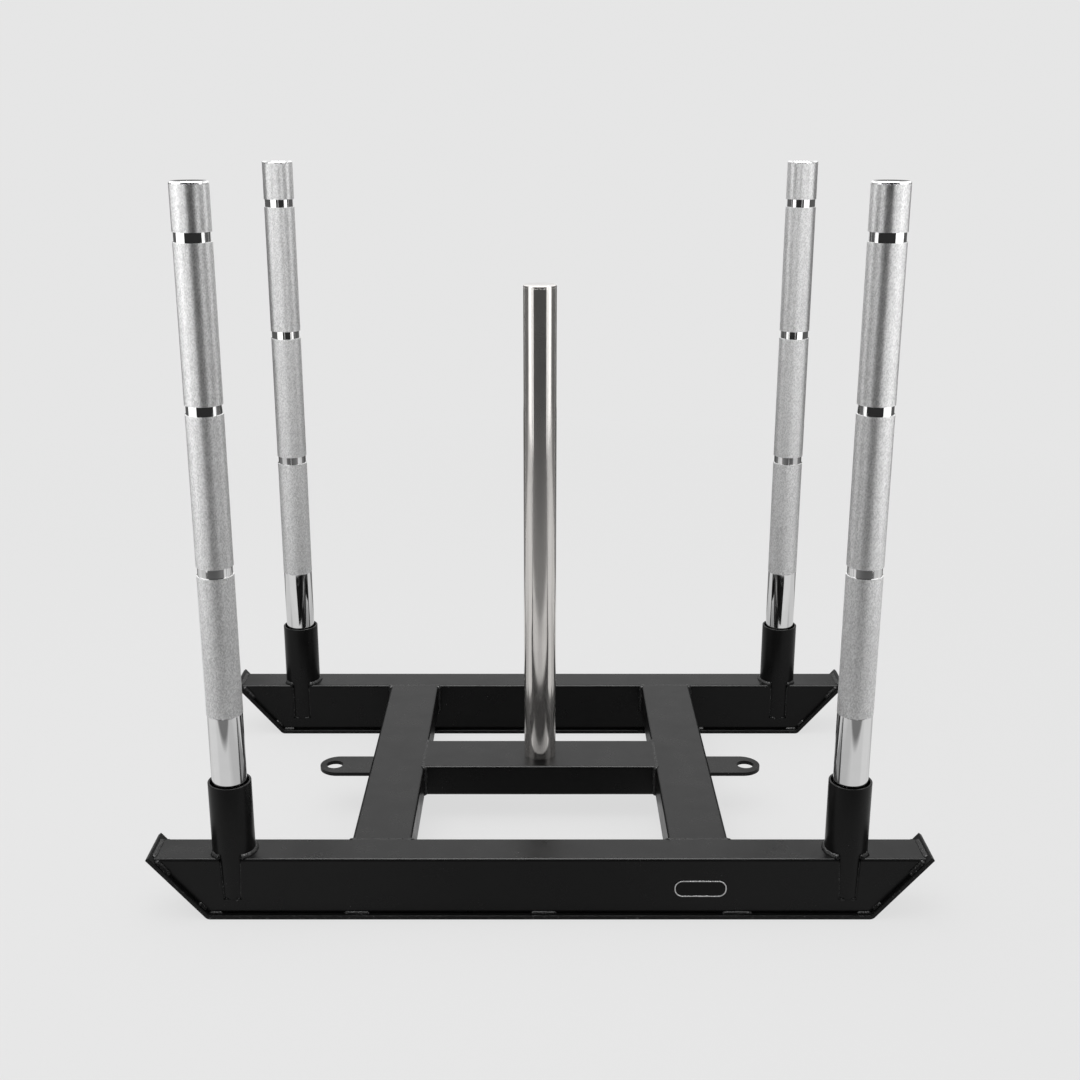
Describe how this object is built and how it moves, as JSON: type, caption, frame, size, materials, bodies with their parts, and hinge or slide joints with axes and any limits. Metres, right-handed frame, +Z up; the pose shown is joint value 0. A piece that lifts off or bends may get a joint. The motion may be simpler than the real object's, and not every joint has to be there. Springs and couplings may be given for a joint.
{
  "type": "push sled",
  "caption": "Low welded steel push sled on flat-shod runners, with a central weight post, tow lugs at its ends and lift-out knurled push poles standing in sockets.",
  "frame": {"origin": "on the floor, under the middle of the sled and the axis of the weight post", "axes": "+X along the runners the way it is pushed, +Y to the left side, +Z up along the weight post"},
  "size_m": [1.0952, 0.7, 1.0068],
  "materials": {
    "frame_coat": "satin black powder coat with fine orange peel",
    "shoe_coat": "satin black powder coat, scuffed where it slides",
    "pole_chrome": "chrome, finely knurled in bands between smooth rings",
    "post_steel": "polished steel",
    "zinc_steel": "zinc plated",
    "plate_metal": "plain blank plate with a bare rim"
  },
  "bodies": {
    "frame": {"left_rail": "frame_coat", "left_shoe": "shoe_coat", "right_rail": "frame_coat", "right_shoe": "shoe_coat", "front_crossmember": "frame_coat", "rear_crossmember": "frame_coat", "centre_crosspiece": "frame_coat", "front_tow_lug": "frame_coat", "rear_tow_lug": "frame_coat", "front_left_socket": "frame_coat", "front_right_socket": "frame_coat", "rear_left_socket": "frame_coat", "rear_right_socket": "frame_coat", "weight_post": "post_steel", "weight_post_cap": "post_steel", "weight_post_plug": "zinc_steel", "weight_post_bolt": "zinc_steel", "weight_post_washer": "zinc_steel", "blank_plate": "plate_metal"},
    "front_left_push_pole": {"front_left_pole": "pole_chrome", "front_left_pole_cap": "pole_chrome"},
    "front_right_push_pole": {"front_right_pole": "pole_chrome", "front_right_pole_cap": "pole_chrome"},
    "rear_left_push_pole": {"rear_left_pole": "pole_chrome", "rear_left_pole_cap": "pole_chrome"},
    "rear_right_push_pole": {"rear_right_pole": "pole_chrome", "rear_right_pole_cap": "pole_chrome"}
  },
  "joints": [
    {"name": "front_left_pole_lift", "type": "slide", "parent": "frame", "child": "front_left_push_pole", "axis": [0, 0, 1], "range_m": [0, 0.2]},
    {"name": "front_right_pole_lift", "type": "slide", "parent": "frame", "child": "front_right_push_pole", "axis": [0, 0, 1], "range_m": [0, 0.2]},
    {"name": "rear_left_pole_lift", "type": "slide", "parent": "frame", "child": "rear_left_push_pole", "axis": [0, 0, 1], "range_m": [0, 0.2]},
    {"name": "rear_right_pole_lift", "type": "slide", "parent": "frame", "child": "rear_right_push_pole", "axis": [0, 0, 1], "range_m": [0, 0.2]}
  ]
}
